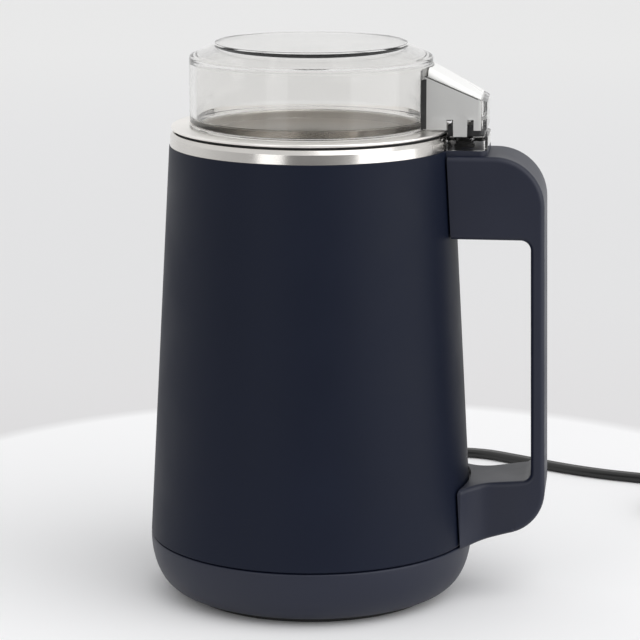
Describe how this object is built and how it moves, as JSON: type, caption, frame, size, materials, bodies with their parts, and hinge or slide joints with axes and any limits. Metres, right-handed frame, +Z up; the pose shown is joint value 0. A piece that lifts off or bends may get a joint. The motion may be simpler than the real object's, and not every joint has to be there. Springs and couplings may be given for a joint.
{
  "type": "electric spice grinder",
  "caption": "Upright electric spice grinder: tapered matte body with a side handle, steel bowl and blade, clear lift-off lid with a press tab, and a flat mains cord with plug.",
  "frame": {"origin": "on the body's axis, at the foot ring's flat underside, where the grinder stands", "axes": "+Z up along the motor shaft; +X from the axis to the handle; the cord leaves along +Y"},
  "size_m": [0.2716, 0.2358, 0.1886],
  "materials": {
    "body_plastic": "matte soft-touch moulding, dark navy",
    "ring_steel": "turned stainless trim, bright",
    "bowl_steel": "drawn stainless sheet, satin",
    "clear_plastic": "clear moulding with a slight smoke tint, polished",
    "white_plastic": "satin white moulding",
    "black_plastic": "fine-textured black moulding",
    "foot_rubber": "matte black rubber",
    "cord_sheath": "satin black soft vinyl",
    "zinc_screws": "bright zinc plate",
    "spring_steel": "plain ground or drawn steel",
    "cast_alloy": "as die cast",
    "core_steel": "stacked laminations, varnished",
    "copper_wire": "enamelled copper",
    "bronze": "sintered bronze and pressed brass",
    "plug_brass": "nickel-plated brass",
    "carbon": "pressed carbon",
    "capacitor_case": "smooth potting case"
  },
  "bodies": {
    "housing": {"body_shell": "body_plastic", "handle_shell": "body_plastic", "handle_screws": "zinc_screws", "base_cap": "body_plastic", "base_screws": "zinc_screws", "foot_ring": "foot_rubber", "top_ring": "ring_steel", "bowl_gasket": "foot_rubber", "bowl": "bowl_steel", "inner_liner": "black_plastic", "bowl_clamp_ring": "black_plastic", "shaft_seal": "foot_rubber", "motor_mounts": "foot_rubber", "motor_bolts": "zinc_screws", "upper_bracket": "cast_alloy", "lower_bracket": "black_plastic", "upper_bushing": "bronze", "lower_bushing": "bronze", "stator_core": "core_steel", "field_coils": "copper_wire", "brush_holders": "bronze", "carbon_brushes": "carbon", "brush_springs": "spring_steel", "suppression_capacitor": "capacitor_case", "microswitch": "black_plastic", "switch_cradle": "white_plastic", "plunger_spring": "spring_steel", "plunger_boot": "foot_rubber", "switch_collar": "clear_plastic", "switch_cap": "black_plastic", "switch_leads": "cord_sheath", "cord_clamp": "black_plastic", "clamp_screws": "zinc_screws", "power_leads": "cord_sheath", "strain_relief": "cord_sheath", "cord_tube": "cord_sheath", "cord_coil": "cord_sheath", "cord_tail": "cord_sheath", "plug_body": "cord_sheath", "plug_pins": "plug_brass"},
    "rotor": {"motor_shaft": "spring_steel", "rotor_core": "core_steel", "rotor_windings": "copper_wire", "commutator": "copper_wire", "cooling_fan": "black_plastic", "blade": "bowl_steel", "blade_nut": "bowl_steel"},
    "lid": {"lid": "clear_plastic", "lid_seal": "clear_plastic", "pad_spring": "spring_steel"},
    "pad": {"thumb_pad": "white_plastic", "press_rod": "white_plastic", "rod_clip": "spring_steel"},
    "plunger": {"switch_plunger": "black_plastic", "switch_button": "white_plastic"}
  },
  "joints": [
    {"name": "rotor_spin", "type": "hinge", "parent": "housing", "child": "rotor", "pos_m": [0, 0, 0.1], "axis": [0, 0, 1], "continuous": true},
    {"name": "lid_lift", "type": "slide", "parent": "housing", "child": "lid", "axis": [0, 0, 1], "range_m": [0, 0.07]},
    {"name": "pad_press", "type": "slide", "parent": "lid", "child": "pad", "axis": [0, 0, -1], "range_m": [0, 0.0018], "stiffness_N_per_m": 600, "deforming": ["pad_spring"]},
    {"name": "plunger_press", "type": "slide", "parent": "housing", "child": "plunger", "axis": [0, 0, -1], "range_m": [0, 0.0018], "stiffness_N_per_m": 400, "deforming": ["plunger_spring"]}
  ],
  "couplings": [
    {"joint": "plunger_press", "follows": "pad_press", "ratio": 1}
  ]
}
